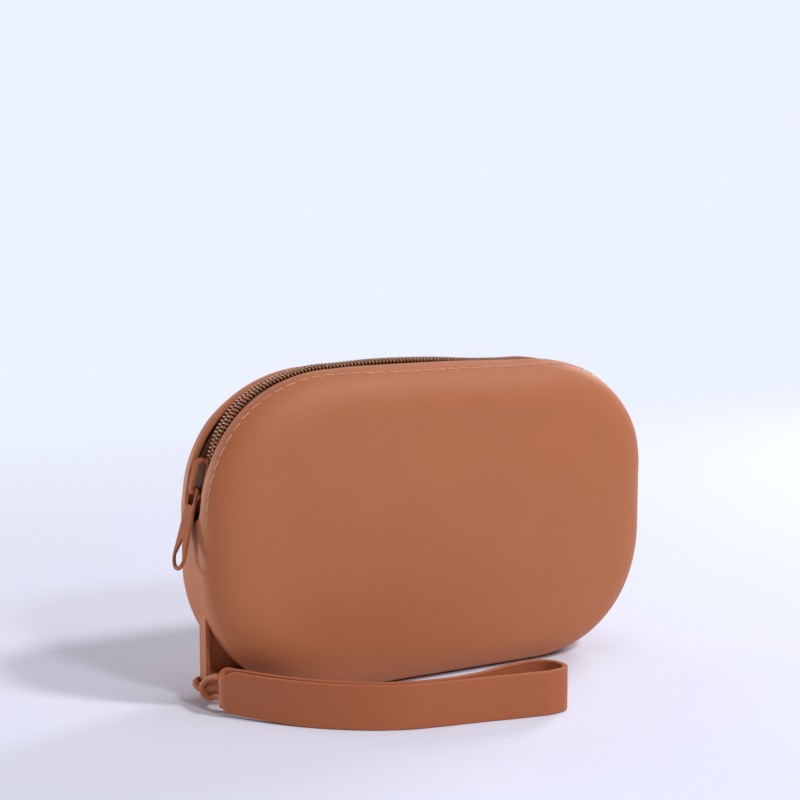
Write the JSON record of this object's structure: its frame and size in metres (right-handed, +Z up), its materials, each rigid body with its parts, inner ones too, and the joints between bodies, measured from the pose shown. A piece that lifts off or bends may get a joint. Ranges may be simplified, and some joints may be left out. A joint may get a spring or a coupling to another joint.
{
  "type": "silicone zip pouch",
  "caption": "Small moulded silicone pouch with rounded corners, a coil zip round its upper edge, a hanging pull and a hitched silicone wrist strap.",
  "frame": {"origin": "on the ground under the middle of the pouch, in the plane between its front and back halves", "axes": "+X along the pouch's width, to the right of its front; +Y from the front face to the back; +Z up"},
  "size_m": [0.1712, 0.0825, 0.1062],
  "materials": {
    "silicone": "matte",
    "zip_tape": "woven",
    "coil_nylon": "satin",
    "sewing_thread": "twisted",
    "painted_zinc": "satin"
  },
  "bodies": {
    "pouch": {"pouch_body": "silicone", "front_zip_tape": "zip_tape", "back_zip_tape": "zip_tape", "front_zip_coil": "coil_nylon", "back_zip_coil": "coil_nylon", "front_coil_core_cord": "zip_tape", "back_coil_core_cord": "zip_tape", "front_seam_thread": "sewing_thread", "back_seam_thread": "sewing_thread", "front_bobbin_thread": "sewing_thread", "back_bobbin_thread": "sewing_thread", "front_top_stop": "painted_zinc", "back_top_stop": "painted_zinc", "bottom_stop": "painted_zinc"},
    "slider": {"slider_body": "painted_zinc"},
    "pull": {"pull_tab": "painted_zinc"},
    "strap": {"wrist_strap": "silicone"}
  },
  "joints": [
    {"name": "slider_run", "type": "hinge", "parent": "pouch", "child": "slider", "pos_m": [-0.0366, 0, 0.0625], "axis": [0, 1, 0], "range_deg": [0, 73]},
    {"name": "pull_swing", "type": "hinge", "parent": "slider", "child": "pull", "pos_m": [-0.08211, 0, 0.0693], "axis": [0, 1, 0], "range_deg": [-2, 140]},
    {"name": "strap_swing", "type": "hinge", "parent": "pouch", "child": "strap", "pos_m": [-0.0781, 0, 0.0065], "axis": [0, 0, 1], "range_deg": [-150, 12]}
  ]
}
